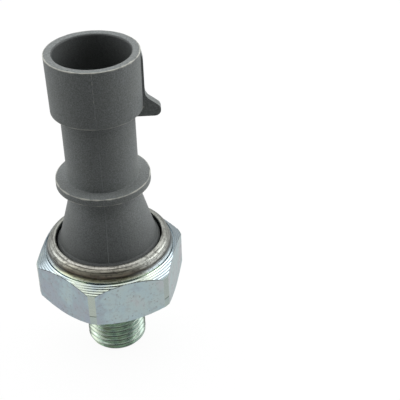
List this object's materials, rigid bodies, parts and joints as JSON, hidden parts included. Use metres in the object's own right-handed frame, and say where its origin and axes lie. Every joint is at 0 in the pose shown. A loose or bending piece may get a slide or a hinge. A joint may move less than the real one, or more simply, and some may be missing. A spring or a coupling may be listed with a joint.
{
  "type": "oil pressure sender",
  "caption": "Engine oil pressure sender: hexagon steel body with a threaded hollow stud, and a grey plastic plug housing with a latch lug and a single terminal.",
  "frame": {"origin": "on the axis, in the plane of the seat under the hexagon", "axes": "+Z along the axis, from the threaded stud towards the plug end; +X towards the latch lug"},
  "size_m": [0.024, 0.0244, 0.0549],
  "materials": {
    "zinc_plated_steel": "bright zinc plating over turned and drawn faces",
    "grey_plastic": "fine matte mould grain",
    "nitrile_rubber": "moulded",
    "polyimide_film": "glossy film",
    "plain_steel": "pressed",
    "spring_steel": "drawn wire",
    "contact_silver": "polished",
    "brass": "turned",
    "white_plastic": "moulded"
  },
  "bodies": {
    "shell": {"hex_body": "zinc_plated_steel", "diaphragm_seal": "nitrile_rubber", "diaphragm": "polyimide_film", "contact_plate": "plain_steel", "fixed_contact_1": "contact_silver", "fixed_contact_2": "contact_silver", "fixed_contact_3": "contact_silver", "contact_spring": "spring_steel", "terminal_pin": "brass", "terminal_seal": "nitrile_rubber", "push_washer": "spring_steel", "housing_seal": "nitrile_rubber", "connector_housing": "grey_plastic"},
    "contact_carrier": {"pressure_disc": "plain_steel", "plunger": "white_plastic", "moving_contact": "brass"}
  },
  "joints": [
    {"name": "contact_lift", "type": "slide", "parent": "shell", "child": "contact_carrier", "axis": [0, 0, 1], "range_m": [0, 0.0005], "stiffness_N_per_m": 2000, "springref_m": -0.0005, "deforming": ["contact_spring"]}
  ]
}
